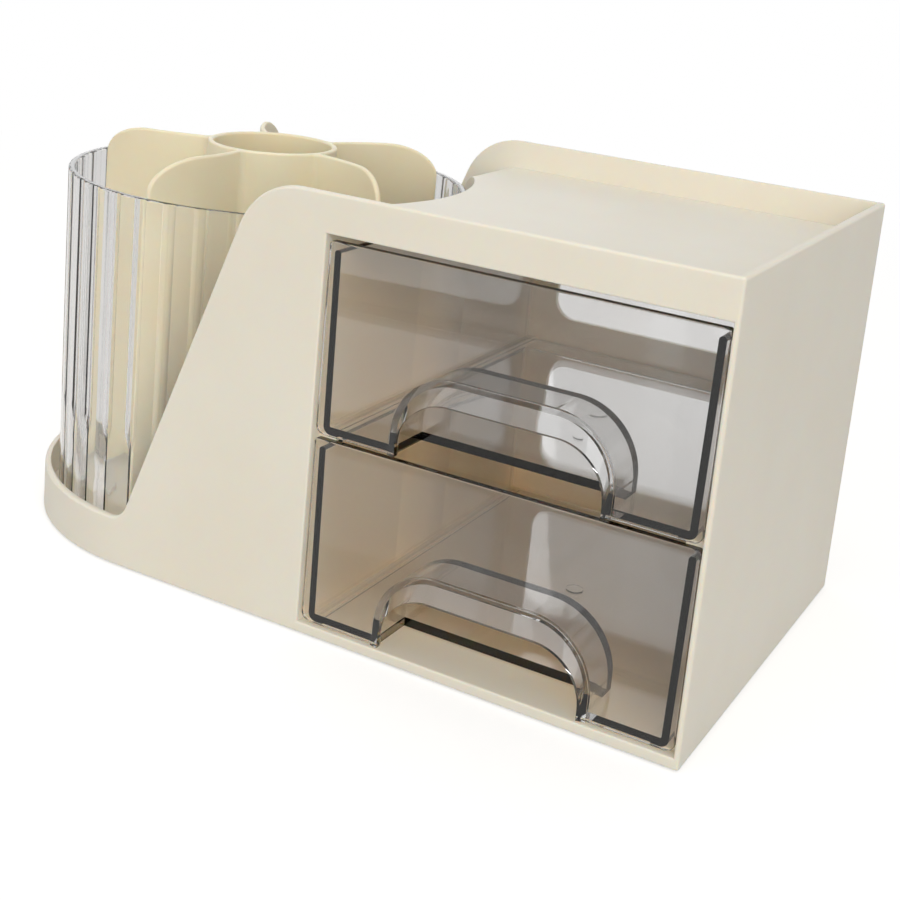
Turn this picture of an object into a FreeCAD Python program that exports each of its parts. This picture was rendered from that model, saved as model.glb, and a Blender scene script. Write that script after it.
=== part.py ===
"""Desk organizer: two smoky drawers beside a turning pen cup.

Millimetres, +Z up, front faces -Y.  The origin is the centre of the bounding
box's footprint, on the surface that the organizer stands on.
"""
import FreeCAD
import Part
import math
import os

from FreeCAD import Placement, Rotation, Vector

# Overall
LENGTH = 244.5
DEPTH = 133.5
HEIGHT = 125.0
WALL = 1.8
EDGE_ROUND = 0.8
RIGHT = LENGTH / 2
FRONT = -DEPTH / 2
REAR = DEPTH / 2

# Side outline shared by the front and rear panels
SLOPE_DEG = 69.5
SLOPE_TOP_X = -13.75
CREST_RADIUS = 20.2
TOE_RADIUS = 6.5
RIM_Z = 15.0

# Levels of the housing
SKIRT_Z = 0.6
FLOOR_UNDER_Z = 1.8
FLOOR_Z = 4.2
TRAY_Z = 115.7
TRAY_THICK = 1.6

# Drawer bay
BAY_LEFT = 9.45
BAY_RIGHT = RIGHT - 1.5
BAY_FLOOR_Z = 3.4
OPENING_ROUND = 0.5
PARTITION = 1.6
WINDOW_LEFT = 20.2
WINDOW_RIGHT = 109.2
WINDOW_HEIGHT = 36.8
WINDOW_RADIUS = 7.0
WINDOW_ABOVE_DRAWER = 9.45
RUNNER_WIDTH = 5.5
RUNNER_THICK = 2.0
RUNNER_FRONT_GAP = 1.0

# Drawers: a front plate, a tray behind it and a finger arch
DRAWER_BOTTOM_Z = 3.85
DRAWER_PITCH = 54.8
PLATE_GAP = 0.5
PLATE_SET_BACK = 1.2
PLATE_THICK = 2.0
PLATE_HEIGHT = 53.6
PLATE_TOP_CORNER = 1.0
PLATE_FOOT_CORNER = 2.6
PLATE_ROUND = 0.4
TRAY_INSET = 1.2
TRAY_DRAFT = 0.7
TRAY_LIFT = 0.4
TRAY_WALL = 2.0
TRAY_TOP = 51.1
TRAY_TOP_ROUND = 0.9
TRAY_CORNER = 2.4
TRAY_BACK_Y = 61.25
RIB_WIDTH = 4.6
RIB_HEIGHT = 0.3
SLIDE_GAP = 0.1
GATE_RADIUS = 2.6
GATE_HEIGHT = 0.4

# Finger arch
ARCH_X = 64.8
ARCH_WIDTH = 63.8
ARCH_HEIGHT = 24.05
ARCH_RADIUS = 18.0
ARCH_WALL = 2.0
ARCH_DEPTH = 16.6
GRIP_WIDTH = 59.0
GRIP_HEIGHT = 16.85
GRIP_RADIUS = 14.0
GRIP_EDGE_THICK = 1.6
GRIP_LEAN = 0.9
GRIP_STEP = 0.25
GRIP_COVE = 1.3

# Turning pen cup
CUP_X = -RIGHT + DEPTH / 2
CUP_RADIUS = 62.0
CUP_FLARE = 0.75
CUP_RIM_ROUND = 0.7
CUP_WALL = 1.9
CUP_SKIRT_Z = 5.0
CUP_FLOOR_UNDER_Z = 6.6
CUP_FLOOR_Z = 8.6
CUP_TOP_Z = 111.5
FLUTES = 40
FLUTE_PHASE_DEG = -0.5
FLUTE_BULGE = 0.3
GROOVE_DEPTH = 0.3
GROOVE_HALF_DEG = 0.35
CHANNEL_RADIUS = 4.3
CHANNEL_OFFSET = 3.88
CHANNEL_END_Z = 33.5
CHANNEL_FULL_Z = 40.0
LOCATING_RADIUS = 18.4
LOCATING_THICK = 1.5
LOCATING_HEIGHT = 3.0

# Lift-out divider: a tube with curved fins, like a pinwheel from above
TUBE_RADIUS = 20.5
TUBE_WALL = 1.8
DIVIDER_BOTTOM_Z = 8.7
DIVIDER_TOP_Z = 121.9
FINS = 5
FIN_ROOT_DEG = 275.7
FIN_TIP_DEG = 266.6
FIN_BOW = 3.2
FIN_THICK = 1.7
FIN_REACH = 57.0
FIN_CORNER_OUT = 16.5
FIN_CORNER_DOWN = 10.2
FIN_ROOT_ROUND = 2.0
FIN_TOP_ROUND = 0.7

# Pivot and ball ring under the cup
POST_RADIUS = 5.0
POST_TOP_Z = 8.7
PILOT_RADIUS = 1.5
PILOT_BOTTOM_Z = 3.2
PIVOT_CLEARANCE = 0.05
HUB_RADIUS = 9.0
WASHER_RADIUS = 7.0
WASHER_THICK = 1.0
SCREW_RADIUS = 1.45
SCREW_LENGTH = 6.0
SCREW_HEAD_RADIUS = 3.0
SCREW_HEAD_HEIGHT = 2.2
BALLS = 12
BALL_RADIUS = 1.5
BALL_CIRCLE = 40.0
BALL_CLEARANCE = 0.06
CAGE_HALF_WIDTH = 4.0
CAGE_THICK = 1.2

# Foot pads
FOOT_RADIUS = 6.0
FOOT_BEVEL = 0.5
FOOT_PLACES = {
    "foot_front_right": (110.0, -54.0),
    "foot_rear_right": (110.0, 54.0),
    "foot_front_left": (-80.0, -44.0),
    "foot_rear_left": (-80.0, 44.0),
}


def box(low, high):
    """Axis-parallel block between two corners."""
    size = Vector(*high) - Vector(*low)
    return Part.makeBox(size.x, size.y, size.z, Vector(*low))


def disc(x, y, z0, z1, radius):
    """Upright cylinder between two levels."""
    return Part.makeCylinder(radius, z1 - z0, Vector(x, y, z0))


def ring(x, y, z0, z1, outer, inner):
    """Upright tube between two levels."""
    return disc(x, y, z0, z1, outer).cut(disc(x, y, z0 - 1, z1 + 1, inner))


def cup_disc(z0, z1, radius):
    """Upright cylinder on the cup's axis."""
    return disc(CUP_X, 0, z0, z1, radius)


def turned(shape, degrees, x=0.0, y=0.0):
    """Copy of a shape turned about an upright axis."""
    copy = shape.copy()
    copy.rotate(Vector(x, y, 0), Vector(0, 0, 1), degrees)
    return copy


def arc_through(centre, radius, start_deg, end_deg, y):
    """Circular arc in an XZ plane, by its centre and two angles."""
    points = []
    for degrees in (start_deg, (start_deg + end_deg) / 2, end_deg):
        angle = math.radians(degrees)
        points.append(Vector(centre[0] + radius * math.cos(angle), y,
                             centre[1] + radius * math.sin(angle)))
    return Part.Arc(*points).toShape()


def closed_wire(edges):
    """Wire through a run of edges, with straight lines over its gaps."""
    run = []
    for edge, following in zip(edges, edges[1:] + edges[:1]):
        run.append(edge)
        end = edge.lastVertex().Point
        start = following.firstVertex().Point
        if end.distanceToPoint(start) > 1e-6:
            run.append(Part.makeLine(end, start))
    return Part.Wire(run)


def stadium(inset, z0, z1):
    """Footprint block: square right end, half-round left end round the cup."""
    radius = DEPTH / 2 - inset
    block = box((CUP_X, -radius, z0), (RIGHT - inset, radius, z1))
    return block.fuse(cup_disc(z0, z1, radius)).removeSplitter()


def side_profile(inset, y0, y1):
    """Block under the crest, slope and toe, offset inward by inset."""
    slope = math.radians(SLOPE_DEG)
    half_turn = math.tan(slope / 2)
    crest_x = SLOPE_TOP_X + CREST_RADIUS * half_turn
    crest_z = HEIGHT - CREST_RADIUS
    foot_x = SLOPE_TOP_X - (HEIGHT - RIM_Z) / math.tan(slope)
    toe_x = foot_x - TOE_RADIUS * half_turn
    toe_z = RIM_Z + TOE_RADIUS
    crest = arc_through((crest_x, crest_z), CREST_RADIUS - inset, 90, 90 + SLOPE_DEG, y0)
    toe = arc_through((toe_x, toe_z), TOE_RADIUS + inset, SLOPE_DEG - 90, -90, y0)
    left = -RIGHT - 1
    right = RIGHT + 1
    rim = Part.makeLine(Vector(left, y0, RIM_Z - inset), Vector(left, y0, -1))
    side = Part.makeLine(Vector(right, y0, -1), Vector(right, y0, HEIGHT - inset))
    return Part.Face(closed_wire([crest, toe, rim, side])).extrude(Vector(0, y1 - y0, 0))


def housing_shell():
    """Outer skin with rounded outer edges, still solid inside."""
    solid = stadium(0, SKIRT_Z, HEIGHT).common(side_profile(0, FRONT - 1, REAR + 1))
    rounded = []
    for edge in solid.Edges:
        middle = edge.valueAt((edge.FirstParameter + edge.LastParameter) / 2)
        box_ = edge.BoundBox
        upright_right = middle.x > RIGHT - 0.01 and box_.ZLength > 50
        top_run = box_.ZMax > SKIRT_Z + 1 and box_.ZLength < HEIGHT - SKIRT_Z - 1
        on_skin = abs(abs(middle.y) - REAR) < 0.01 or middle.x > RIGHT - 0.01
        on_end = math.hypot(middle.x - CUP_X, middle.y) > REAR - 0.01
        if upright_right or (top_run and (on_skin or on_end)):
            rounded.append(edge)
    return solid.makeFillet(EDGE_ROUND, rounded)


def bulge():
    """Outside of the well wall, which bows into the drawer bay."""
    return cup_disc(SKIRT_Z, TRAY_Z, DEPTH / 2 - WALL + PARTITION)


def bay_space():
    """Space of the drawer bay, open at the front."""
    ceiling = TRAY_Z - TRAY_THICK
    space = box((BAY_LEFT, FRONT - 1, BAY_FLOOR_Z), (BAY_RIGHT, REAR - WALL, ceiling))
    return space.cut(bulge())


def round_bay_opening(body):
    """Eases the four front edges of the drawer bay."""
    rim = []
    for edge in body.Edges:
        span = edge.BoundBox
        on_front = span.YMax < FRONT + 0.01
        across = span.XMin > BAY_LEFT - 0.01 and span.XMax < BAY_RIGHT + 0.01
        upright = span.ZMin > BAY_FLOOR_Z - 0.01 and span.ZMax < TRAY_Z - TRAY_THICK + 0.01
        if on_front and across and upright:
            rim.append(edge)
    return body.makeFillet(OPENING_ROUND, rim)


def corner_hollows():
    """The two hollows between well, bay and panels, open underneath."""
    inset = HEIGHT - TRAY_Z + TRAY_THICK
    span = box((CUP_X, FRONT + WALL, SKIRT_Z - 1),
               (BAY_LEFT - PARTITION, REAR - WALL, HEIGHT))
    return span.common(side_profile(inset, FRONT, REAR)).cut(bulge())


def window(z0):
    """Round-cornered window block through the rear panel."""
    block = box((WINDOW_LEFT, REAR - 2 * WALL, z0), (WINDOW_RIGHT, REAR + 1, z0 + WINDOW_HEIGHT))
    corners = [edge for edge in block.Edges if edge.BoundBox.YLength > WALL]
    return block.makeFillet(WINDOW_RADIUS, corners)


def runners(top_z, thick):
    """Pair of ledges along the bay that a drawer rests and slides on."""
    front = FRONT + PLATE_SET_BACK + PLATE_THICK + RUNNER_FRONT_GAP
    pair = []
    for x0, x1 in ((BAY_LEFT - PARTITION, BAY_LEFT + RUNNER_WIDTH),
                   (BAY_RIGHT - RUNNER_WIDTH, BAY_RIGHT + WALL / 2)):
        pair.append(box((x0, front, top_z - thick), (x1, REAR - WALL / 2, top_z)))
    return pair[0].cut(cup_disc(0, HEIGHT, DEPTH / 2 - WALL)).fuse(pair[1])


def ball_groove(z):
    """Ring-shaped groove tool that a ring of balls runs in."""
    return Part.makeTorus(BALL_CIRCLE, BALL_RADIUS + BALL_CLEARANCE, Vector(CUP_X, 0, z))


def ball_level():
    """Height of the balls' centres, halfway between floor and cup."""
    return (FLOOR_Z + CUP_FLOOR_UNDER_Z) / 2


def housing():
    """Moulded body: panels, top tray, drawer bay, cup well and pivot post."""
    body = housing_shell()
    above_tray = stadium(WALL, FLOOR_Z, HEIGHT + 1)
    above_tray = above_tray.cut(side_profile(HEIGHT - TRAY_Z, FRONT, REAR))
    body = body.cut(above_tray)
    body = body.cut(cup_disc(FLOOR_Z, HEIGHT, DEPTH / 2 - WALL))
    body = round_bay_opening(body.cut(bay_space()))
    body = body.cut(corner_hollows())
    body = body.cut(stadium(WALL, SKIRT_Z - 1, FLOOR_UNDER_Z))
    for level in range(2):
        drawer_z = DRAWER_BOTTOM_Z + level * DRAWER_PITCH
        ledge_top = drawer_z + TRAY_LIFT - RIB_HEIGHT - SLIDE_GAP
        ledge_thick = RUNNER_THICK if level else ledge_top - BAY_FLOOR_Z + 0.2
        body = body.cut(window(drawer_z + WINDOW_ABOVE_DRAWER))
        body = body.fuse(runners(ledge_top, ledge_thick))
    body = body.fuse(cup_disc(FLOOR_UNDER_Z, POST_TOP_Z, POST_RADIUS))
    body = body.cut(cup_disc(PILOT_BOTTOM_Z, POST_TOP_Z + 1, PILOT_RADIUS))
    body = body.cut(ball_groove(ball_level()))
    return body.removeSplitter()


def arch_face(width, height, radius, x, y, z):
    """Face of an arch with round shoulders, standing on level z."""
    half = width / 2
    left = arc_through((x - half + radius, z + height - radius), radius, 180, 90, y)
    right = arc_through((x + half - radius, z + height - radius), radius, 90, 0, y)
    feet = Part.makeLine(Vector(x + half, y, z), Vector(x - half, y, z))
    return Part.Face(closed_wire([left, right, feet]))


def arch_block(width, height, radius, x, z, y0, y1):
    """Arch-shaped block between two depths."""
    return arch_face(width, height, radius, x, y0, z).extrude(Vector(0, y1 - y0, 0))


def arch_loft(near, far):
    """Block between two arches of different size, with straight sides."""
    return Part.makeLoft([near.OuterWire, far.OuterWire], True, True)


def tapered_block(low, high):
    """Block between two level rectangles (x0, x1, y0, y1, z) with flat leaning sides."""
    outlines = []
    for x0, x1, y0, y1, z in (low, high):
        corners = [Vector(x0, y0, z), Vector(x1, y0, z), Vector(x1, y1, z), Vector(x0, y1, z)]
        outlines.append(Part.makePolygon(corners + corners[:1]))
    return Part.makeLoft(outlines, True, True)


def tray_block(x0, x1, y0, inset, z_low, z_high):
    """Filled tray shape with drafted sides and back, round below and behind."""
    lean = TRAY_DRAFT * (z_high - z_low) / TRAY_TOP
    low_inset = inset + lean
    low = (x0 + low_inset, x1 - low_inset, y0 - 20, TRAY_BACK_Y - low_inset, z_low)
    high = (x0 + inset, x1 - inset, y0 - 20, TRAY_BACK_Y - inset, z_high)
    block = tapered_block(low, high)
    edges = []
    for edge in block.Edges:
        span = edge.BoundBox
        bottom_run = span.ZMax < z_low + 0.01 and span.YMax > y0
        behind = span.YMin > TRAY_BACK_Y - low_inset - 0.01
        if bottom_run or (behind and span.ZLength > 1):
            edges.append(edge)
    return block.makeFillet(TRAY_CORNER - inset, edges)


def drawer_tray(x0, x1, y0, bottom_z):
    """Open tray behind the plate, with round bottom and back corners and wall tops."""
    z0 = bottom_z + TRAY_LIFT - RIB_HEIGHT
    top = bottom_z + TRAY_TOP
    outer = tray_block(x0, x1, y0, 0, z0, top)
    inner = tray_block(x0, x1, y0, TRAY_WALL, bottom_z + TRAY_LIFT + TRAY_WALL, top)
    tray = outer.cut(inner)
    rims = []
    for edge in tray.Edges:
        if edge.BoundBox.ZMin > top - 0.01 and edge.BoundBox.YMax > y0:
            rims.append(edge)
    tray = tray.makeFillet(TRAY_TOP_ROUND, rims)
    behind = box((x0 - 1, y0, z0 - 1), (x1 + 1, TRAY_BACK_Y + 1, top + 1))
    rib = TRAY_DRAFT + RIB_WIDTH
    relief = box((x0 + rib, y0 - 1, z0 - 1), (x1 - rib, TRAY_BACK_Y + 1, z0 + RIB_HEIGHT))
    return tray.common(behind).cut(relief)


def drawer_plate(x0, x1, y0, z0):
    """Front plate, rounder at its feet, with an eased front edge."""
    plate = box((x0, y0, z0), (x1, y0 + PLATE_THICK, z0 + PLATE_HEIGHT))
    through = [edge for edge in plate.Edges if edge.BoundBox.YLength > 1]
    feet = [edge for edge in through if edge.BoundBox.ZMax < z0 + 1]
    plate = plate.makeFillet(PLATE_FOOT_CORNER, feet)
    heads = [edge for edge in plate.Edges
             if edge.BoundBox.YLength > 1 and edge.BoundBox.ZMin > z0 + PLATE_HEIGHT - 0.01]
    plate = plate.makeFillet(PLATE_TOP_CORNER, heads)
    front = [edge for edge in plate.Edges if edge.BoundBox.YMax < y0 + 0.01]
    return plate.makeFillet(PLATE_ROUND, front)


def drawer(bottom_z):
    """One-piece drawer: plate, tray, finger arch and the grip lip in it."""
    x0 = BAY_LEFT + PLATE_GAP
    x1 = BAY_RIGHT - PLATE_GAP
    plate_y = FRONT + PLATE_SET_BACK
    tray_y = plate_y + PLATE_THICK
    plate = drawer_plate(x0, x1, plate_y, bottom_z)
    tray = drawer_tray(x0 + TRAY_INSET, x1 - TRAY_INSET, tray_y - 0.5, bottom_z)
    arch = arch_block(ARCH_WIDTH, ARCH_HEIGHT - TRAY_LIFT, ARCH_RADIUS, ARCH_X,
                      bottom_z + TRAY_LIFT, plate_y + PLATE_THICK / 2, plate_y + ARCH_DEPTH)
    step = arch_block(ARCH_WIDTH, ARCH_HEIGHT, ARCH_RADIUS, ARCH_X, bottom_z,
                      plate_y - GRIP_STEP, plate_y + PLATE_THICK)
    lip = arch_loft(
        arch_face(GRIP_WIDTH, GRIP_HEIGHT, GRIP_RADIUS, ARCH_X, plate_y - GRIP_LEAN, bottom_z),
        arch_face(ARCH_WIDTH, ARCH_HEIGHT, ARCH_RADIUS, ARCH_X, plate_y - GRIP_STEP, bottom_z))
    body = plate.fuse(tray).fuse(arch).fuse(step).fuse(lip)
    floor_z = bottom_z + TRAY_LIFT + TRAY_WALL
    gate_y = (tray_y + TRAY_BACK_Y) / 2
    body = body.fuse(disc(ARCH_X, gate_y, floor_z - 1, floor_z + GATE_HEIGHT, GATE_RADIUS))
    return body.cut(finger_space(ARCH_X, bottom_z, plate_y)).removeSplitter()


def finger_space(middle, bottom_z, plate_y):
    """Room behind the grip lip, open downwards and to the front."""
    low_z = bottom_z - 1
    inner_width = ARCH_WIDTH - 2 * ARCH_WALL
    inner_height = ARCH_HEIGHT - ARCH_WALL + 1
    inner_radius = ARCH_RADIUS - ARCH_WALL
    edge_y = plate_y - GRIP_LEAN + GRIP_EDGE_THICK
    cove_y = edge_y + GRIP_COVE
    back_y = plate_y + ARCH_DEPTH - ARCH_WALL
    mouth = arch_block(GRIP_WIDTH, GRIP_HEIGHT + 1, GRIP_RADIUS, middle, low_z, plate_y - 2, edge_y)
    cove = arch_loft(arch_face(GRIP_WIDTH, GRIP_HEIGHT + 1, GRIP_RADIUS, middle, edge_y, low_z),
                     arch_face(inner_width, inner_height, inner_radius, middle, cove_y, low_z))
    room = arch_block(inner_width, inner_height, inner_radius, middle, low_z, cove_y, back_y)
    return mouth.fuse(cove).fuse(room)


def fluted_wire(radius, z):
    """Cup outline: forty shallow lobes that meet in narrow grooves."""
    pitch = 360.0 / FLUTES

    def point(distance, degrees):
        angle = math.radians(degrees)
        return Vector(CUP_X + distance * math.cos(angle), distance * math.sin(angle), z)

    edges = []
    for flute in range(FLUTES):
        start = FLUTE_PHASE_DEG + flute * pitch
        first = point(radius, start + GROOVE_HALF_DEG)
        crown = point(radius + FLUTE_BULGE, start + pitch / 2)
        last = point(radius, start + pitch - GROOVE_HALF_DEG)
        valley = point(radius - GROOVE_DEPTH, start + pitch)
        following = point(radius, start + pitch + GROOVE_HALF_DEG)
        edges.append(Part.Arc(first, crown, last).toShape())
        edges.append(Part.makeLine(last, valley))
        edges.append(Part.makeLine(valley, following))
    return Part.Wire(edges)


def cup_cone(z0, z1, radius):
    """Round block about the cup's axis that widens with the cup's flare."""
    flare = CUP_FLARE / (CUP_TOP_Z - CUP_SKIRT_Z)
    low = radius + flare * (z0 - CUP_SKIRT_Z)
    high = radius + flare * (z1 - CUP_SKIRT_Z)
    return Part.makeCone(low, high, z1 - z0, Vector(CUP_X, 0, z0))


def channel_tools():
    """Forty round cutters that hollow each groove and run out in a point below."""
    x = CUP_X + CUP_RADIUS + CHANNEL_OFFSET
    foot = Vector(x, 0, CHANNEL_FULL_Z)
    shaft = Part.makeCylinder(CHANNEL_RADIUS, CUP_TOP_Z + 1 - CHANNEL_FULL_Z, foot)
    rim = Part.Wire(Part.makeCircle(CHANNEL_RADIUS, foot))
    point = Part.Vertex(x - CHANNEL_OFFSET, 0, CHANNEL_END_Z)
    tool = shaft.fuse(Part.makeLoft([point, rim], True, True))
    flare = math.degrees(math.atan(CUP_FLARE / (CUP_TOP_Z - CUP_SKIRT_Z)))
    tool.rotate(Vector(x, 0, CUP_SKIRT_Z), Vector(0, 1, 0), flare)
    turns = [FLUTE_PHASE_DEG + flute * 360.0 / FLUTES for flute in range(FLUTES)]
    return Part.makeCompound([turned(tool, degrees, CUP_X, 0) for degrees in turns])


def pen_cup():
    """Clear fluted cup with a round rim, a raised floor, a hub and a locating ring."""
    inner = CUP_RADIUS - CUP_WALL
    outlines = [fluted_wire(CUP_RADIUS, CUP_SKIRT_Z),
                fluted_wire(CUP_RADIUS + CUP_FLARE, CUP_TOP_Z)]
    body = Part.makeLoft(outlines, True, True)
    body = body.cut(channel_tools())
    rim = cup_disc(CUP_SKIRT_Z, CUP_TOP_Z, CUP_RADIUS + CUP_FLARE + FLUTE_BULGE)
    top = [edge for edge in rim.Edges if edge.BoundBox.ZMin > CUP_TOP_Z - 0.01]
    body = body.common(rim.makeFillet(CUP_RIM_ROUND, top))
    body = body.cut(cup_cone(CUP_FLOOR_Z, CUP_TOP_Z + 1, inner))
    body = body.cut(cup_disc(CUP_SKIRT_Z - 1, CUP_FLOOR_UNDER_Z, inner))
    mouth = [edge for edge in body.Edges
             if edge.BoundBox.ZMin > CUP_TOP_Z - 0.01 and edge.BoundBox.XLength > 2 * inner]
    body = body.makeFillet(CUP_RIM_ROUND, mouth)
    body = body.fuse(cup_disc(CUP_SKIRT_Z, CUP_FLOOR_Z - 0.5, HUB_RADIUS))
    locator_top = CUP_FLOOR_Z + LOCATING_HEIGHT
    locator = ring(CUP_X, 0, CUP_FLOOR_Z - 0.5, locator_top, LOCATING_RADIUS,
                   LOCATING_RADIUS - LOCATING_THICK)
    body = body.fuse(locator)
    body = body.cut(cup_disc(0, HEIGHT, POST_RADIUS + PIVOT_CLEARANCE))
    return body.cut(ball_groove(ball_level()))


def polar(radius, degrees):
    """Plan point at a radius and an angle from the origin."""
    angle = math.radians(degrees)
    return Vector(radius * math.cos(angle), radius * math.sin(angle), 0)


def fin():
    """One upright fin: an arc band in plan from the tube out past the fin's reach."""
    root = polar(TUBE_RADIUS, FIN_ROOT_DEG)
    tip = polar(FIN_REACH, FIN_TIP_DEG)
    chord = tip - root
    half_turn = 2 * math.atan(2 * FIN_BOW / chord.Length)
    radius = chord.Length / 2 / math.sin(half_turn)
    side = Vector(-chord.y, chord.x, 0).normalize()
    centre = (root + tip) / 2 + side * (FIN_BOW - radius)
    centre += Vector(CUP_X, 0, DIVIDER_BOTTOM_Z)
    overrun = math.degrees(1 / radius)
    span = math.degrees(2 * half_turn) + 4 * overrun
    start = math.degrees(math.atan2(tip.y - centre.y, tip.x + CUP_X - centre.x)) - 3 * overrun
    height = DIVIDER_TOP_Z - DIVIDER_BOTTOM_Z
    upward = Vector(0, 0, 1)
    band = Part.makeCylinder(radius + FIN_THICK / 2, height, centre, upward, span)
    band = band.cut(Part.makeCylinder(radius - FIN_THICK / 2, height, centre, upward, 360))
    return turned(band, start, centre.x, centre.y)


def fin_envelope():
    """Turned block that trims the fins' tips and rounds their top corners."""
    corner = Part.Ellipse(Vector(0, 0, 0), FIN_CORNER_OUT, FIN_CORNER_DOWN)
    quarter = Part.ArcOfEllipse(corner, 0, math.pi / 2).toShape()
    upright = Rotation(Vector(1, 0, 0), 90)
    place = Vector(FIN_REACH - FIN_CORNER_OUT, 0, DIVIDER_TOP_Z - FIN_CORNER_DOWN)
    quarter.Placement = Placement(place, upright)
    axis = Part.makeLine(Vector(0, 0, DIVIDER_TOP_Z), Vector(0, 0, DIVIDER_BOTTOM_Z))
    base = Part.makeLine(Vector(0, 0, DIVIDER_BOTTOM_Z), Vector(FIN_REACH, 0, DIVIDER_BOTTOM_Z))
    profile = Part.Face(closed_wire([quarter, axis, base]))
    profile.translate(Vector(CUP_X, 0, 0))
    return profile.revolve(Vector(CUP_X, 0, 0), Vector(0, 0, 1), 360)


def at_fin_root(edge):
    """Whether an edge is one of the upright corners between tube and fin."""
    point = edge.firstVertex().Point - Vector(CUP_X, 0, 0)
    radius = math.hypot(point.x, point.y)
    pitch = 360.0 / FINS
    degrees = math.degrees(math.atan2(point.y, point.x)) - FIN_ROOT_DEG
    from_root = abs((degrees + pitch / 2) % pitch - pitch / 2)
    half_fin = math.degrees(FIN_THICK / 2 / TUBE_RADIUS)
    on_tube = abs(radius - TUBE_RADIUS) < 0.01 and edge.BoundBox.ZLength > 50
    return on_tube and abs(from_root - half_fin) < 1


def on_divider_rim(edge):
    """Whether an edge runs along the top of the tube or the fins, or down a fin's end."""
    span = edge.BoundBox
    if span.ZMin > DIVIDER_TOP_Z - 0.01:
        return True
    point = edge.valueAt((edge.FirstParameter + edge.LastParameter) / 2) - Vector(CUP_X, 0, 0)
    at_end = math.hypot(point.x, point.y) > FIN_REACH - FIN_CORNER_OUT
    return at_end and span.ZLength > FIN_CORNER_DOWN / 2


def divider():
    """Round centre tube with five curved fins, lifted out of the cup as one piece."""
    fins = [turned(fin(), number * 360.0 / FINS, CUP_X, 0) for number in range(FINS)]
    body = fins[0].multiFuse(fins[1:]).common(fin_envelope())
    body = body.fuse(cup_disc(DIVIDER_BOTTOM_Z, DIVIDER_TOP_Z, TUBE_RADIUS)).removeSplitter()
    body = body.makeFillet(FIN_ROOT_ROUND, [edge for edge in body.Edges if at_fin_root(edge)])
    body = body.cut(cup_disc(0, HEIGHT, TUBE_RADIUS - TUBE_WALL))
    return body.makeFillet(FIN_TOP_ROUND, [edge for edge in body.Edges if on_divider_rim(edge)])


def pivot_washer():
    """Flat washer that holds the cup down on its post."""
    return ring(CUP_X, 0, POST_TOP_Z, POST_TOP_Z + WASHER_THICK, WASHER_RADIUS,
                SCREW_RADIUS + PIVOT_CLEARANCE)


def pivot_screw():
    """Pan-head screw into the pivot post."""
    head_z = POST_TOP_Z + WASHER_THICK
    head = cup_disc(head_z, head_z + SCREW_HEAD_HEIGHT, SCREW_HEAD_RADIUS)
    rim = [edge for edge in head.Edges if edge.BoundBox.ZMin > head_z + SCREW_HEAD_HEIGHT - 0.01]
    head = head.makeFillet(SCREW_HEAD_HEIGHT * 0.6, rim)
    slot_half = SCREW_HEAD_RADIUS * 0.55
    slot_z = head_z + SCREW_HEAD_HEIGHT / 2
    for along, across in ((slot_half, 0.4), (0.4, slot_half)):
        head = head.cut(box((CUP_X - along, -across, slot_z), (CUP_X + along, across, head_z + 3)))
    return head.fuse(cup_disc(head_z - SCREW_LENGTH, head_z, SCREW_RADIUS)).removeSplitter()


def ball_places():
    """Centres of the balls round the cup's axis."""
    places = []
    for number in range(BALLS):
        angle = 2 * math.pi * number / BALLS
        places.append(Vector(CUP_X + BALL_CIRCLE * math.cos(angle),
                             BALL_CIRCLE * math.sin(angle), ball_level()))
    return places


def bearing_balls():
    """Ring of steel balls that the cup turns on."""
    return Part.makeCompound([Part.makeSphere(BALL_RADIUS, place) for place in ball_places()])


def ball_cage():
    """Thin ring that keeps the balls apart."""
    z0 = ball_level() - CAGE_THICK / 2
    z1 = z0 + CAGE_THICK
    cage = ring(CUP_X, 0, z0, z1, BALL_CIRCLE + CAGE_HALF_WIDTH, BALL_CIRCLE - CAGE_HALF_WIDTH)
    for place in ball_places():
        cage = cage.cut(disc(place.x, place.y, z0 - 1, z1 + 1, BALL_RADIUS + 2 * BALL_CLEARANCE))
    return cage


def foot(x, y):
    """Round foot pad stuck under the floor, bevelled where it meets the desk."""
    pad = disc(x, y, 0, FLOOR_UNDER_Z, FOOT_RADIUS)
    lower_edge = [edge for edge in pad.Edges if edge.BoundBox.ZMax < 0.01]
    return pad.makeChamfer(FOOT_BEVEL, lower_edge)


def build_nodes():
    """Every separate piece of the organizer by name."""
    nodes = {
        "housing": housing(),
        "lower_drawer": drawer(DRAWER_BOTTOM_Z),
        "upper_drawer": drawer(DRAWER_BOTTOM_Z + DRAWER_PITCH),
        "pen_cup": pen_cup(),
        "divider_insert": divider(),
        "pivot_washer": pivot_washer(),
        "pivot_screw": pivot_screw(),
        "bearing_balls": bearing_balls(),
        "ball_cage": ball_cage(),
    }
    for name, (x, y) in FOOT_PLACES.items():
        nodes[name] = foot(x, y)
    return nodes


os.makedirs("parts", exist_ok=True)
for name, shape in build_nodes().items():
    shape.exportStep(os.path.join("parts", name + ".step"))
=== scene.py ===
import math

import bpy
import numpy as np
from mathutils import Matrix, Vector


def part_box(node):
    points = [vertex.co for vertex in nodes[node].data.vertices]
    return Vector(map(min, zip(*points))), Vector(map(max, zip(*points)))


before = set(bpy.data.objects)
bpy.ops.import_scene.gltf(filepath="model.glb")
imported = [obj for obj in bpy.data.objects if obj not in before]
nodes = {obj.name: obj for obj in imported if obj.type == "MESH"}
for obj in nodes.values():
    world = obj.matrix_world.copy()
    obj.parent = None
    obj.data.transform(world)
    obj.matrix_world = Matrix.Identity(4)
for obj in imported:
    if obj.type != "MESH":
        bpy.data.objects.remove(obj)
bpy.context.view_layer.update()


# ---- Camera -----------------------------------------------------------------
# A table-top product view from the front right, a little above the organizer.
# The lens is shifted, and the camera is rolled a few degrees to the right.

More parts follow.
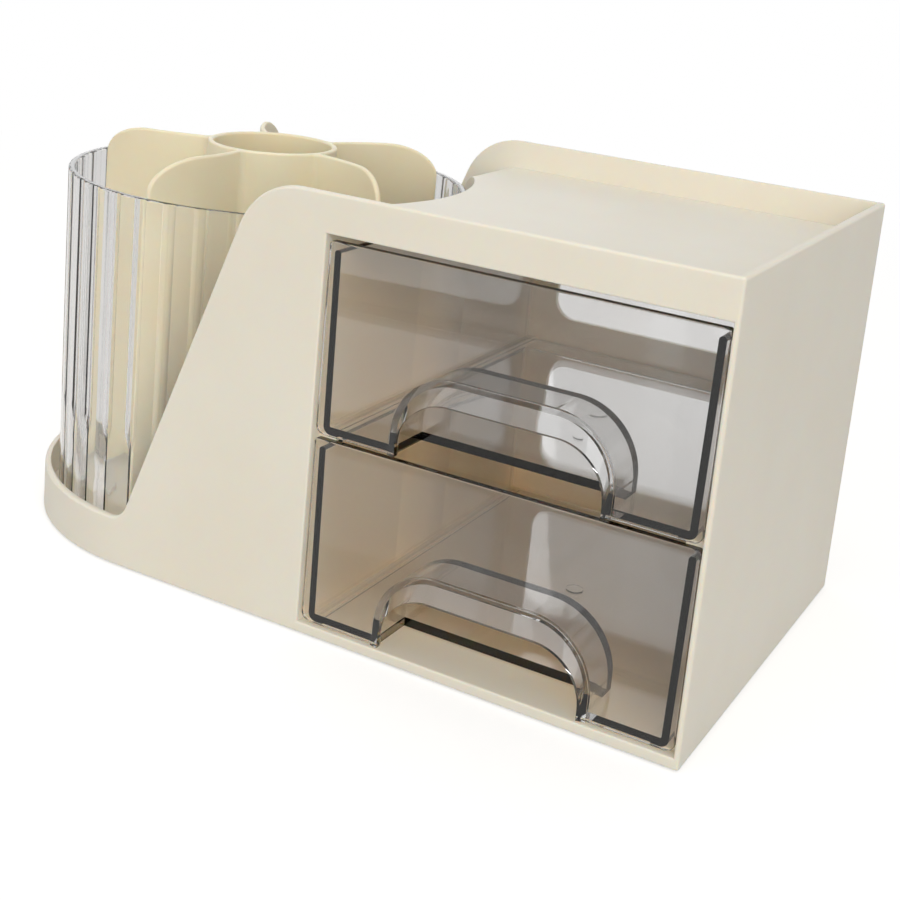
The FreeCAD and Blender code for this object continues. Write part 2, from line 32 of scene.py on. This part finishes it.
CAMERA_PLACE = Vector((0.21835, -0.39554, 0.20196))
CAMERA_AZIMUTH = math.radians(28.544)
CAMERA_ELEVATION = math.radians(12.756)
CAMERA_ROLL = math.radians(5.275)
SENSOR_WIDTH = 36.0
FOCAL_LENGTH = 60.893
LENS_SHIFT = (0.02596, -0.22958)
NEAREST_SEEN = 0.01

camera_data = bpy.data.cameras.new("camera")
camera_data.sensor_width = SENSOR_WIDTH
camera_data.lens = FOCAL_LENGTH
camera_data.shift_x, camera_data.shift_y = LENS_SHIFT
camera_data.clip_start = NEAREST_SEEN
camera = bpy.data.objects.new("camera", camera_data)
turn = (Matrix.Rotation(CAMERA_AZIMUTH, 4, "Z")
        @ Matrix.Rotation(math.radians(90) - CAMERA_ELEVATION, 4, "X")
        @ Matrix.Rotation(CAMERA_ROLL, 4, "Z"))
camera.matrix_world = Matrix.Translation(CAMERA_PLACE) @ turn
bpy.context.collection.objects.link(camera)
bpy.context.scene.camera = camera


# ---- Studio -----------------------------------------------------------------
# A pale paper sweep that goes to white behind the organizer and keeps its soft
# shadow, under an even sky. The main soft panel stands at the front right, with
# weaker ones at the front left, behind and above.

SKY_LIGHT = 0.36
GLOSS_SHARE = 0.80
GLASS_SHARE = 0.45
FLOOR_HALF = 12.0
FLOOR_LIFT = 0.57
WASH_FROM = 0.30
WASH_TO = 0.75
LIT_POINT = Vector((0.0, 0.0, 0.06))


def linear(code):
    """sRGB hex colour as linear RGBA."""
    srgb = np.array([int(code[i:i + 2], 16) for i in (1, 3, 5)]) / 255.0
    low, high = srgb / 12.92, ((srgb + 0.055) / 1.055) ** 2.4
    return (*np.where(srgb <= 0.04045, low, high).tolist(), 1.0)


def new_material(name):
    """Material with an empty node tree: itself, its tree and its output node."""
    material = bpy.data.materials.new(name)
    material.use_nodes = True
    tree = material.node_tree
    tree.nodes.clear()
    return material, tree, tree.nodes.new("ShaderNodeOutputMaterial")


def add(tree, kind, inputs=None, **settings):
    """Adds one node. Inputs are sockets to link or numbers to set, by place or name.
    Settings are its properties or socket values, with _ for a space in the name."""
    node = tree.nodes.new(kind)
    for key, value in settings.items():
        name = key.replace("_", " ").lower()
        sockets = [socket for socket in node.inputs if socket.name.lower() == name]
        if hasattr(node, key):
            setattr(node, key, value)
        elif sockets:
            sockets[0].default_value = value
        else:
            raise KeyError(key)
    for key, value in (inputs or {}).items():
        if isinstance(value, bpy.types.NodeSocket):
            tree.links.new(value, node.inputs[key])
        else:
            node.inputs[key].default_value = value
    return node


def seen_by_eye(tree):
    """How much a ray sees the white: all from the camera, a share by way of gloss or
    glass, and nothing once it has met a dull surface. A ray through blurred glass
    counts as both glossy and transmitted, so it is taken out of the glossy ones."""
    path = add(tree, "ShaderNodeLightPath").outputs
    mirrored = add(tree, "ShaderNodeMath",
                   {0: path["Is Glossy Ray"], 1: path["Is Transmission Ray"]},
                   operation="SUBTRACT", use_clamp=True)
    gloss = add(tree, "ShaderNodeMath",
                {0: mirrored.outputs[0], 1: GLOSS_SHARE, 2: path["Is Camera Ray"]},
                operation="MULTIPLY_ADD")
    glass = add(tree, "ShaderNodeMath",
                {0: path["Is Transmission Ray"], 1: GLASS_SHARE, 2: gloss.outputs[0]},
                operation="MULTIPLY_ADD")
    undulled = add(tree, "ShaderNodeMath", {0: path["Diffuse Depth"], 1: 0.5},
                   operation="LESS_THAN")
    share = add(tree, "ShaderNodeMath", {0: glass.outputs[0], 1: undulled.outputs[0]},
                operation="MULTIPLY")
    return share.outputs[0]


def panel(name, place, width, height, watts):
    """Soft rectangular lamp at a place, aimed at the organizer."""
    data = bpy.data.lights.new(name, "AREA")
    data.shape = "RECTANGLE"
    data.size = width
    data.size_y = height
    data.energy = watts
    lamp = bpy.data.objects.new(name, data)
    lamp.location = place
    lamp.rotation_euler = (LIT_POINT - Vector(place)).to_track_quat("-Z", "Y").to_euler()
    bpy.context.collection.objects.link(lamp)


WHITE = linear("#FFFFFF")

scene = bpy.context.scene
scene.view_settings.view_transform = "Standard"

world = bpy.data.worlds.new("studio")
world.use_nodes = True
scene.world = world
sky = world.node_tree
sky.nodes.clear()
dim = add(sky, "ShaderNodeBackground", Color=WHITE, Strength=SKY_LIGHT)
bright = add(sky, "ShaderNodeBackground", Color=WHITE, Strength=1.0)
both = add(sky, "ShaderNodeMixShader",
           {0: seen_by_eye(sky), 1: dim.outputs[0], 2: bright.outputs[0]})
add(sky, "ShaderNodeOutputWorld", {"Surface": both.outputs[0]})

floor_mesh = bpy.data.meshes.new("floor")
corners = [(x * FLOOR_HALF, y * FLOOR_HALF, 0)
           for x, y in ((-1, -1), (1, -1), (1, 1), (-1, 1))]
floor_mesh.from_pydata(corners, [], [(0, 1, 2, 3)])
floor = bpy.data.objects.new("floor", floor_mesh)
bpy.context.collection.objects.link(floor)

material, tree, out = new_material("white_paper_sweep")
paper = add(tree, "ShaderNodeBsdfDiffuse", Color=linear("#D2D0CD"))
glow = add(tree, "ShaderNodeEmission", Color=WHITE, Strength=FLOOR_LIFT)
lifted = add(tree, "ShaderNodeAddShader", {0: paper.outputs[0], 1: glow.outputs[0]})
washed = add(tree, "ShaderNodeEmission", Color=WHITE, Strength=1.0)
place = add(tree, "ShaderNodeTexCoord").outputs["Object"]
reach = add(tree, "ShaderNodeVectorMath", {0: place}, operation="LENGTH")
fade = add(tree, "ShaderNodeMapRange", {"Value": reach.outputs["Value"]},
           From_Min=WASH_FROM, From_Max=WASH_TO)
swept = add(tree, "ShaderNodeMixShader",
            {0: fade.outputs[0], 1: lifted.outputs[0], 2: washed.outputs[0]})
mix = add(tree, "ShaderNodeMixShader",
          {0: seen_by_eye(tree), 1: paper.outputs[0], 2: swept.outputs[0]})
tree.links.new(mix.outputs[0], out.inputs["Surface"])
floor_mesh.materials.append(material)

panel("key_panel", (1.05, -1.32, 0.676), 1.5, 1.1, 13.7)
panel("fill_panel", (-1.05, -1.40, 0.60), 1.3, 1.0, 5.5)
panel("rear_panel", (-1.10, 1.20, 0.80), 1.3, 1.0, 3.5)
panel("top_panel", (0.1, -0.1, 1.5), 1.2, 1.2, 5.0)


# ---- Housing ----------------------------------------------------------------
# One injection moulding in cream ABS: front and rear panels, right wall, rimmed
# tray, drawer bay and cup well. The mould was finely spark-eroded, so the skin is
# satin, faintly clouded, gently rippled by shrinkage and smoother on its edges.

CLOUD = 0.040
RIPPLE, RIPPLE_LIFT, RIPPLE_STRENGTH = 0.011, 0.00010, 0.25
GRAIN_LIFT, GRAIN_STRENGTH = 0.00003, 0.12
SATIN_SPREAD = 0.05
EDGE_ROUND = 0.0004
EDGE_FROM, EDGE_TO = 0.02, 0.10
EDGE_PALER = 0.5
EDGE_SMOOTHER = 0.10
# Spark erosion leaves grain of about 0.05 mm. It is drawn coarser, so that it shows.
CREAM_GRAIN = 0.00035


def finish_node(name, material):
    """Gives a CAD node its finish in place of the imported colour."""
    mesh = nodes[name].data
    mesh.materials.clear()
    mesh.materials.append(material)


def opaque_moulding(name, light, dark, grain, satin, draw=1.0):
    """Opaque moulded plastic. Colour drifts between light and dark in clouds, the
    skin has grain over a slow ripple, and edges are rounded, paler and smoother.
    Grain is its size in metres, satin the mean roughness, and draw stretches the
    grain along the mould's opening. An edge is where the rounded normal leans away
    from the flat one, by one minus the cosine of the angle between them."""
    material, tree, out = new_material(name)
    place = add(tree, "ShaderNodeTexCoord").outputs["Object"]
    cloud = add(tree, "ShaderNodeTexNoise", {"Vector": place}, Scale=1 / CLOUD, Detail=3.0)
    drift = add(tree, "ShaderNodeMapRange", {"Value": cloud.outputs["Fac"]},
                From_Min=0.35, From_Max=0.65)
    along = add(tree, "ShaderNodeMapping", {"Vector": place}, Scale=(1, 1, 1 / draw))
    pits = add(tree, "ShaderNodeTexNoise", {"Vector": along.outputs[0]},
               Scale=1 / grain, Detail=3.0, Roughness=0.6)
    waves = add(tree, "ShaderNodeTexNoise", {"Vector": place}, Scale=1 / RIPPLE, Detail=1.0)
    rounded = add(tree, "ShaderNodeBevel", samples=4, Radius=EDGE_ROUND)
    flat = add(tree, "ShaderNodeNewGeometry")
    facing = add(tree, "ShaderNodeVectorMath",
                 {0: rounded.outputs[0], 1: flat.outputs["Normal"]},
                 operation="DOT_PRODUCT")
    edge = add(tree, "ShaderNodeMapRange", {"Value": facing.outputs["Value"]},
               From_Min=1 - EDGE_FROM, From_Max=1 - EDGE_TO)
    worn = add(tree, "ShaderNodeMath", {0: edge.outputs[0], 1: EDGE_PALER},
               operation="MULTIPLY")
    tone = add(tree, "ShaderNodeMixRGB", {"Fac": drift.outputs[0]},
               Color1=linear(dark), Color2=linear(light))
    tone = add(tree, "ShaderNodeMixRGB", {"Fac": worn.outputs[0], "Color1": tone.outputs[0]},
               Color2=linear(light))
    matt = add(tree, "ShaderNodeMapRange", {"Value": pits.outputs["Fac"]},
               To_Min=satin - SATIN_SPREAD, To_Max=satin + SATIN_SPREAD)
    smooth = add(tree, "ShaderNodeMath",
                 {0: edge.outputs[0], 1: -EDGE_SMOOTHER, 2: matt.outputs[0]},
                 operation="MULTIPLY_ADD")
    skin = add(tree, "ShaderNodeBump",
               {"Height": waves.outputs["Fac"], "Normal": rounded.outputs[0]},
               Strength=RIPPLE_STRENGTH, Distance=RIPPLE_LIFT)
    skin = add(tree, "ShaderNodeBump",
               {"Height": pits.outputs["Fac"], "Normal": skin.outputs[0]},
               Strength=GRAIN_STRENGTH, Distance=GRAIN_LIFT)
    plastic = add(tree, "ShaderNodeBsdfPrincipled",
                  {"Base Color": tone.outputs[0], "Roughness": smooth.outputs[0],
                   "Normal": skin.outputs[0]},
                  IOR=1.53, Subsurface_Weight=1.0, Subsurface_Scale=0.001,
                  Subsurface_Radius=(0.7, 0.55, 0.4))
    tree.links.new(plastic.outputs[0], out.inputs["Surface"])
    return material


cream_abs = opaque_moulding("cream_abs_spark_eroded", "#F2ECDD", "#F0E9D9",
                            CREAM_GRAIN, satin=0.52)
finish_node("housing", cream_abs)


# ---- Divider insert ---------------------------------------------------------
# The lift-out tube with its curved fins, in a slightly yellower ABS. Its deep
# thin walls leave a mould that was stoned lengthways, so the grain runs upwards.

# Stone marks are finer too, and are drawn as coarse as they need to show.
IVORY_GRAIN = 0.00040
STONED_LENGTH = 12.0

ivory_abs = opaque_moulding("ivory_abs_stoned", "#F7ECCF", "#F5E8C6",
                            IVORY_GRAIN, satin=0.46, draw=STONED_LENGTH)
finish_node("divider_insert", ivory_abs)


# ---- Drawers ----------------------------------------------------------------
# Two trays in smoke polystyrene from a mirror-polished mould, with an arched
# finger grip in front. The tint is in the depth, so edges and folds look black.
# Lamps light the bay through them in a browner colour than that tint, which is
# painted warm shade inside the bay.

HAZE_PATCH = 0.020
HAZE_SPREAD = 0.030
WAVE_STRETCH = 4.0
SMOKE_BLUR = 0.008
SMOKE_WAVE = 0.012
SMOKE_WAVE_LIFT = 0.000010


def clear_moulding(name, absorbed, density, shade, blur, wave, lift):
    """See-through polystyrene: a polished skin that is blurred a little more in
    soft patches and waves by lift over a distance of wave, both in metres, with
    its tint in depth. Lamps shine straight through it and take on the shade
    colour. Where that colour is browner than the tint in depth, it paints a warm
    shade on what lies behind."""
    material, tree, out = new_material(name)
    place = add(tree, "ShaderNodeTexCoord").outputs["Object"]
    along = add(tree, "ShaderNodeMapping", {"Vector": place}, Scale=(1, 1, 1 / WAVE_STRETCH))
    ripple = add(tree, "ShaderNodeTexNoise", {"Vector": along.outputs[0]},
                 Scale=1 / wave, Detail=1.0)
    skin = add(tree, "ShaderNodeBump", {"Height": ripple.outputs["Fac"]},
               Strength=1.0, Distance=lift)
    patches = add(tree, "ShaderNodeTexNoise", {"Vector": place},
                  Scale=1 / HAZE_PATCH, Detail=4.0)
    haze = add(tree, "ShaderNodeMapRange", {"Value": patches.outputs["Fac"]},
               From_Min=0.35, From_Max=0.75, To_Min=blur, To_Max=blur + HAZE_SPREAD)
    plastic = add(tree, "ShaderNodeBsdfPrincipled",
                  {"Roughness": haze.outputs[0], "Normal": skin.outputs[0]},
                  Base_Color=WHITE, IOR=1.59, Transmission_Weight=1.0)
    # Lamp light passes straight through in the shade colour; for the smoke this paints a
    # warm, darker shade on the bay and trays behind.
    lamplight = add(tree, "ShaderNodeBsdfTransparent", Color=linear(shade))
    path = add(tree, "ShaderNodeLightPath").outputs
    mix = add(tree, "ShaderNodeMixShader",
              {0: path["Is Shadow Ray"], 1: plastic.outputs[0], 2: lamplight.outputs[0]})
    tint = add(tree, "ShaderNodeVolumeAbsorption", Color=linear(absorbed), Density=density)
    tree.links.new(mix.outputs[0], out.inputs["Surface"])
    tree.links.new(tint.outputs[0], out.inputs["Volume"])
    return material


# The smoke's shade #FDF2DF is browner than its grey tint in depth: it is painted golden
# shade inside the drawer bay.
smoke = clear_moulding("smoke_polystyrene_polished", "#363639", 25.0, "#FDF2DF",
                       SMOKE_BLUR, SMOKE_WAVE, SMOKE_WAVE_LIFT)
finish_node("lower_drawer", smoke)
finish_node("upper_drawer", smoke)


# ---- Pen cup ----------------------------------------------------------------
# The fluted turning cup in clear polystyrene. It is colourless but for a faint
# cool cast in depth, slightly blurred where the deep upright core was polished.

CLEAR_BLUR = 0.030
CLEAR_WAVE = 0.015
CLEAR_WAVE_LIFT = 0.000004

clear = clear_moulding("clear_polystyrene_polished", "#B8B2BE", 14.0, "#FDFCFA",
                       CLEAR_BLUR, CLEAR_WAVE, CLEAR_WAVE_LIFT)
finish_node("pen_cup", clear)


# ---- Turntable bearing ------------------------------------------------------
# Twelve ground steel balls in a flat ring of natural acetal, which is milky and
# slippery, with faint rings from its turned mould.

TURNED_RING = 0.0005
TURNED_LIFT = 0.00005
MILK_CLOUD = 0.008
STEEL_FILM = 0.004
BALL_GRAIN = 0.0004
BALL_GRAIN_LIFT = 0.000004

screw_low, screw_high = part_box("pivot_screw")
cup_x = (screw_low[0] + screw_high[0]) / 2

material, tree, out = new_material("natural_acetal_moulded")
place = add(tree, "ShaderNodeTexCoord").outputs["Object"]
centred = add(tree, "ShaderNodeMapping", {"Vector": place}, Location=(-cup_x, 0, 0))
spoke = add(tree, "ShaderNodeVectorMath", {0: centred.outputs[0]}, operation="LENGTH")
rings = add(tree, "ShaderNodeTexNoise", {"W": spoke.outputs["Value"]},
            noise_dimensions="1D", Scale=1 / TURNED_RING, Detail=2.0)
milk = add(tree, "ShaderNodeTexNoise", {"Vector": place}, Scale=1 / MILK_CLOUD, Detail=2.0)
tone = add(tree, "ShaderNodeMixRGB", {"Fac": milk.outputs["Fac"]},
           Color1=linear("#E4E3DC"), Color2=linear("#F0EFEA"))
matt = add(tree, "ShaderNodeMapRange", {"Value": rings.outputs["Fac"]},
           To_Min=0.25, To_Max=0.42)
skin = add(tree, "ShaderNodeBump", {"Height": rings.outputs["Fac"]},
           Strength=0.2, Distance=TURNED_LIFT)
plastic = add(tree, "ShaderNodeBsdfPrincipled",
              {"Base Color": tone.outputs[0], "Roughness": matt.outputs[0],
               "Normal": skin.outputs[0]},
              IOR=1.48, Subsurface_Weight=1.0, Subsurface_Scale=0.001,
              Subsurface_Radius=(1.2, 1.1, 1.0))
tree.links.new(plastic.outputs[0], out.inputs["Surface"])
finish_node("ball_cage", material)


def steel(name, light, dark, grain, low, high, lift):
    """Steel whose colour drifts between two greys and whose roughness runs from low
    to high over a grain in metres, which also stands up by lift."""
    material, tree, out = new_material(name)
    place = add(tree, "ShaderNodeTexCoord").outputs["Object"]
    film = add(tree, "ShaderNodeTexNoise", {"Vector": place},
               Scale=1 / STEEL_FILM, Detail=3.0)
    tone = add(tree, "ShaderNodeMixRGB", {"Fac": film.outputs["Fac"]},
               Color1=linear(dark), Color2=linear(light))
    marks = add(tree, "ShaderNodeTexNoise", {"Vector": place}, Scale=1 / grain, Detail=4.0)
    worn = add(tree, "ShaderNodeMapRange", {"Value": marks.outputs["Fac"]},
               From_Min=0.3, From_Max=0.7, To_Min=low, To_Max=high)
    skin = add(tree, "ShaderNodeBump", {"Height": marks.outputs["Fac"]},
               Strength=0.3, Distance=lift)
    metal = add(tree, "ShaderNodeBsdfPrincipled",
                {"Base Color": tone.outputs[0], "Roughness": worn.outputs[0],
                 "Normal": skin.outputs[0]}, Metallic=1.0)
    tree.links.new(metal.outputs[0], out.inputs["Surface"])
    return material


ground_steel = steel("chrome_steel_ground", "#D3D4D6", "#C4C6C9",
                     BALL_GRAIN, low=0.06, high=0.16, lift=BALL_GRAIN_LIFT)
finish_node("bearing_balls", ground_steel)


# ---- Pivot screw and washer -------------------------------------------------
# The cup turns on a post and is held down by a wide washer under a cross-headed
# screw. Both are steel with bright zinc plating, satin and faintly blue or straw.

ZINC_GRAIN = 0.0006
ZINC_GRAIN_LIFT = 0.000020

zinc = steel("zinc_plated_steel", "#D0D2D6", "#C3C1B6",
             ZINC_GRAIN, low=0.24, high=0.42, lift=ZINC_GRAIN_LIFT)
finish_node("pivot_screw", zinc)
finish_node("pivot_washer", zinc)


# ---- Feet -------------------------------------------------------------------
# Four pads of soft black rubber pressed into the underside. They are matt, finely
# grained, and pick up a little pale dust on their faces.

RUBBER_GRAIN = 0.0003
RUBBER_GRAIN_LIFT = 0.00004
DUST_PATCH = 0.003

material, tree, out = new_material("black_rubber_moulded")
place = add(tree, "ShaderNodeTexCoord").outputs["Object"]
grain = add(tree, "ShaderNodeTexNoise", {"Vector": place},
            Scale=1 / RUBBER_GRAIN, Detail=3.0)
dust = add(tree, "ShaderNodeTexNoise", {"Vector": place}, Scale=1 / DUST_PATCH, Detail=6.0)
settled = add(tree, "ShaderNodeMapRange", {"Value": dust.outputs["Fac"]},
              From_Min=0.5, From_Max=0.8, To_Max=0.4)
tone = add(tree, "ShaderNodeMixRGB", {"Fac": settled.outputs[0]},
           Color1=linear("#2A2A2B"), Color2=linear("#6A6762"))
matt = add(tree, "ShaderNodeMapRange", {"Value": grain.outputs["Fac"]},
           To_Min=0.65, To_Max=0.85)
skin = add(tree, "ShaderNodeBump", {"Height": grain.outputs["Fac"]},
           Strength=0.4, Distance=RUBBER_GRAIN_LIFT)
rubber = add(tree, "ShaderNodeBsdfPrincipled",
             {"Base Color": tone.outputs[0], "Roughness": matt.outputs[0],
              "Normal": skin.outputs[0]}, IOR=1.52)
tree.links.new(rubber.outputs[0], out.inputs["Surface"])
for corner in ("front_left", "front_right", "rear_left", "rear_right"):
    finish_node("foot_" + corner, material)
